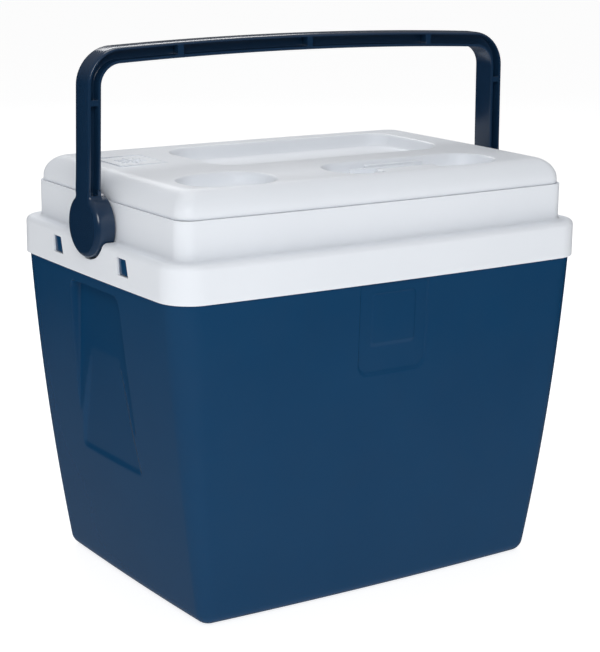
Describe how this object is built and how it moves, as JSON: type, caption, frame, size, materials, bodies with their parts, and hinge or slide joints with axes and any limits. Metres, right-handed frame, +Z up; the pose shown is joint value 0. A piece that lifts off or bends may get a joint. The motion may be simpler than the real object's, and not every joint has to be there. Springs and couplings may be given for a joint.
{
  "type": "cooler chest",
  "caption": "Insulated picnic cooler with a tapered tub, stepped collar, lift-off lid with cup recesses and a folding bail handle.",
  "frame": {"origin": "on the floor, at the middle of the tub's base", "axes": "+X along the chest's long side and parallel to the handle's pivot axis, -Y towards the front with the shallow label recess, +Z up"},
  "size_m": [0.472, 0.3148, 0.5132],
  "materials": {
    "shell_blue": "satin",
    "collar_white": "satin",
    "liner_white": "satin",
    "lid_white": "satin",
    "handle_navy": "satin",
    "foam": "matte"
  },
  "bodies": {
    "tub": {"outer_shell": "shell_blue", "collar": "collar_white", "inner_liner": "liner_white", "foam_floor": "foam", "foam_front": "foam", "foam_rear": "foam", "foam_left": "foam", "foam_right": "foam"},
    "lid": {"lid_cover": "lid_white", "lid_base": "liner_white", "lid_foam": "foam"},
    "bail": {"handle": "handle_navy", "pivot_pin_left": "handle_navy", "pivot_pin_right": "handle_navy"}
  },
  "joints": [
    {"name": "handle_swing", "type": "hinge", "parent": "tub", "child": "bail", "pos_m": [0, 0, 0.3502], "axis": [1, 0, 0], "range_deg": [-88, 88]},
    {"name": "lid_lift", "type": "slide", "parent": "tub", "child": "lid", "axis": [0, 0, 1], "range_m": [0, 0.085]}
  ]
}
